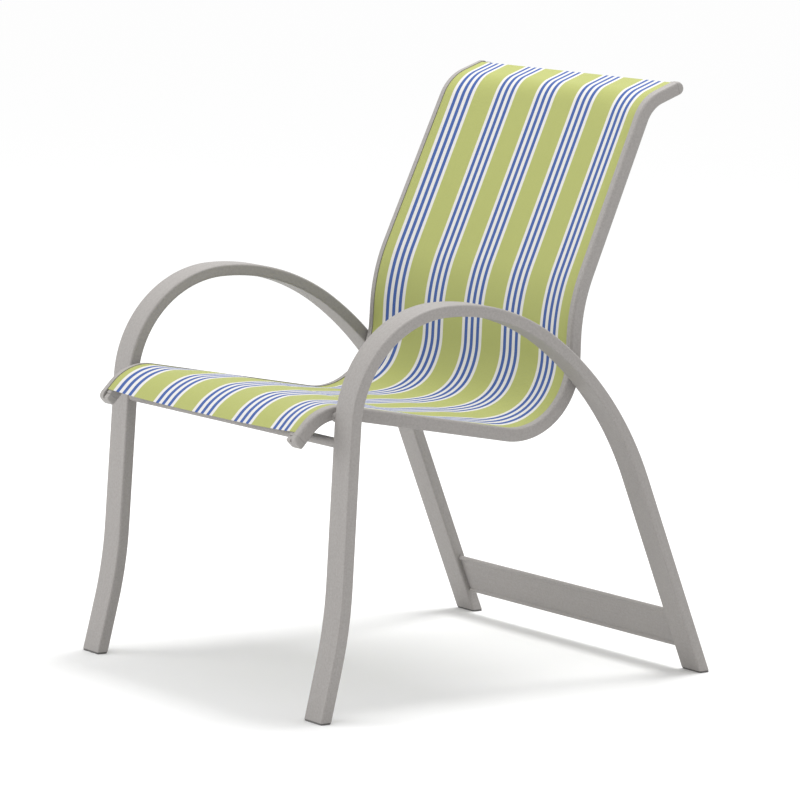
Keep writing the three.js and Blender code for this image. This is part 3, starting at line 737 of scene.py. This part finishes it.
# Sling
def sling_loop():
    """The sling's section: (side, inset, level) in the hems, (0, share, level) between them."""
    neck = FABRIC
    neck_angle = math.degrees(math.asin(neck / hem_radius))
    neck_level = groove_level + math.sqrt(hem_radius**2 - neck**2)

    def hem(side):
        points = [(side, slot_inset + neck, fabric_bottom)]
        points.append((side, slot_inset + neck, neck_level))
        for i in range(1, HEM_STEPS):
            turn = math.radians(neck_angle + (360 - 2 * neck_angle) * i / HEM_STEPS)
            inset = slot_inset + hem_radius * math.sin(turn)
            points.append((side, inset, groove_level + hem_radius * math.cos(turn)))
        points.append((side, slot_inset - neck, neck_level))
        points.append((side, slot_inset - neck, fabric_top - FABRIC_FOLD))
        points.append((side, slot_inset - neck + FABRIC_FOLD, fabric_top))
        return points

    def face(level, direction):
        shares = [1 - 2 * i / FABRIC_SPANS for i in range(FABRIC_SPANS + 1)]
        return [(0, share, level) for share in shares[::direction]]

    return [*hem(1)[::-1], *face(fabric_bottom, 1), *hem(-1), *face(fabric_top, -1)]


sag_marks = [(0.0, SAG_MARKS[0][2])]
for run, share, rise in SAG_MARKS:
    sag_marks.append((rail_path.runs[run][3] + share * rail_path.runs[run][4], rise))
sag_marks.append((rail_path.length, 0.0))


def middle_rise(distance):
    """How far the sling's middle lies out of the rails' curve at a distance along the path."""
    for (start, first), (end, last) in zip(sag_marks, sag_marks[1:]):
        if distance <= end:
            return first + (last - first) * (1 - math.cos(math.pi * (distance - start) / (end - start))) / 2
    return 0.0


def sling_mesh():
    """The sling with its hems, and UVs that lay the stripes across the stretched cloth."""
    loop = sling_loop()
    stations = rail_path.stations(fabric_start, fabric_end, long_step=FABRIC_STEP)
    rings, layout = [], []
    for station in stations:
        share = (station[3] - fabric_start) / (fabric_end - fabric_start)
        stretch = 1 + FRONT_STRETCH * (1 - share) ** STRETCH_FADE
        ring, row = [], []
        for side, place, out in loop:
            rise = 0 if side else middle_rise(station[3]) * (1 - abs(place) ** SAG_POWER)
            y, z = beside(station, 0, out + rise)
            x = side * (rail_outer(y, z) - place) if side else place * rail_inner(y, z)
            ring.append((x, y, z))
            row.append((station[3], x / stretch))
        rings.append(ring)
        layout.append(row)
    mesh = mesh_of("sling", rings, along=[s[3] for s in stations])
    layer = mesh.uv_layers["lay"]
    count = len(loop)
    flat = [uv for row in layout for uv in row]
    for face in mesh.polygons:
        for corner in face.loop_indices:
            layer.data[corner].uv = flat[mesh.loops[corner].vertex_index]
    return mesh


sling = show("sling_cloth", sling_mesh(), cloth, ["sling_fabric"], sharp=CLOTH_SHARP)

for name, carried in nodes.items():
    ending = name.split("_")[-1]
    carried.data.materials.clear()
    carried.data.materials.append(NODE_MATERIALS.get(ending, frame_coat))


# Floor, light and camera
def lay_floor():
    mesh = bpy.data.meshes.new("floor")
    corners = [(x * FLOOR_REACH, y * FLOOR_REACH, 0) for x, y in ((-1, -1), (1, -1), (1, 1), (-1, 1))]
    mesh.from_pydata(corners, [], [(0, 1, 2, 3)])
    material, tree, shader = new_material("floor_white_with_painted_shade")
    where = node(tree, "ShaderNodeTexCoord")
    away = node(tree, "ShaderNodeVectorMath", operation="LENGTH")
    tree.links.new(where.outputs["Object"], away.inputs[0])
    # painted shade: the floor's colour goes from grey round the chair to white far away, darkening where
    # the lamps light it most
    white = ramp(
        tree, away.outputs["Value"], PAINTED_SHADE_REACH, WHITE_REACH, FLOOR_PAINTED_SHADE_GREY, FLOOR_WHITE, "SMOOTHSTEP"
    )
    tree.links.new(white, shader.inputs["Base Color"])
    shader.inputs["Roughness"].default_value = 1.0
    shader.inputs["Specular IOR Level"].default_value = 0.0
    mesh.materials.append(material)
    floor = bpy.data.objects.new("floor", mesh)
    bpy.context.scene.collection.objects.link(floor)


def light_sky():
    world = bpy.data.worlds.new("studio")
    bpy.context.scene.world = world
    world.use_nodes = True
    background = world.node_tree.nodes["Background"]
    background.inputs["Color"].default_value = (1, 1, 1, 1)
    background.inputs["Strength"].default_value = SKY_STRENGTH


def lamp(name, place, target, size, power):
    light = bpy.data.lights.new(name, "AREA")
    light.shape = "SQUARE"
    light.size = size
    light.energy = power
    made = bpy.data.objects.new(name, light)
    made.location = place
    made.rotation_euler = (Vector(target) - Vector(place)).to_track_quat("-Z", "Y").to_euler()
    bpy.context.scene.collection.objects.link(made)


def camera():
    data = bpy.data.cameras.new("view")
    data.sensor_width = CAMERA_SENSOR
    data.lens = CAMERA_LENS
    data.clip_start = CAMERA_NEAR
    data.clip_end = CAMERA_FAR
    ahead = Vector(CAMERA_AHEAD).normalized()
    right = ahead.cross(Vector(CAMERA_UP)).normalized()
    turn = Matrix((right, right.cross(ahead), -ahead)).transposed().to_4x4()
    made = bpy.data.objects.new("view", data)
    made.matrix_world = Matrix.Translation(Vector(CAMERA_PLACE) + Vector((0, SHIFT, 0))) @ turn
    bpy.context.scene.collection.objects.link(made)
    bpy.context.scene.camera = made


lay_floor()
light_sky()
for settings in LAMPS:
    lamp(*settings)
camera()
view = bpy.context.scene.view_settings
view.view_transform = "Standard"
view.look = "None"
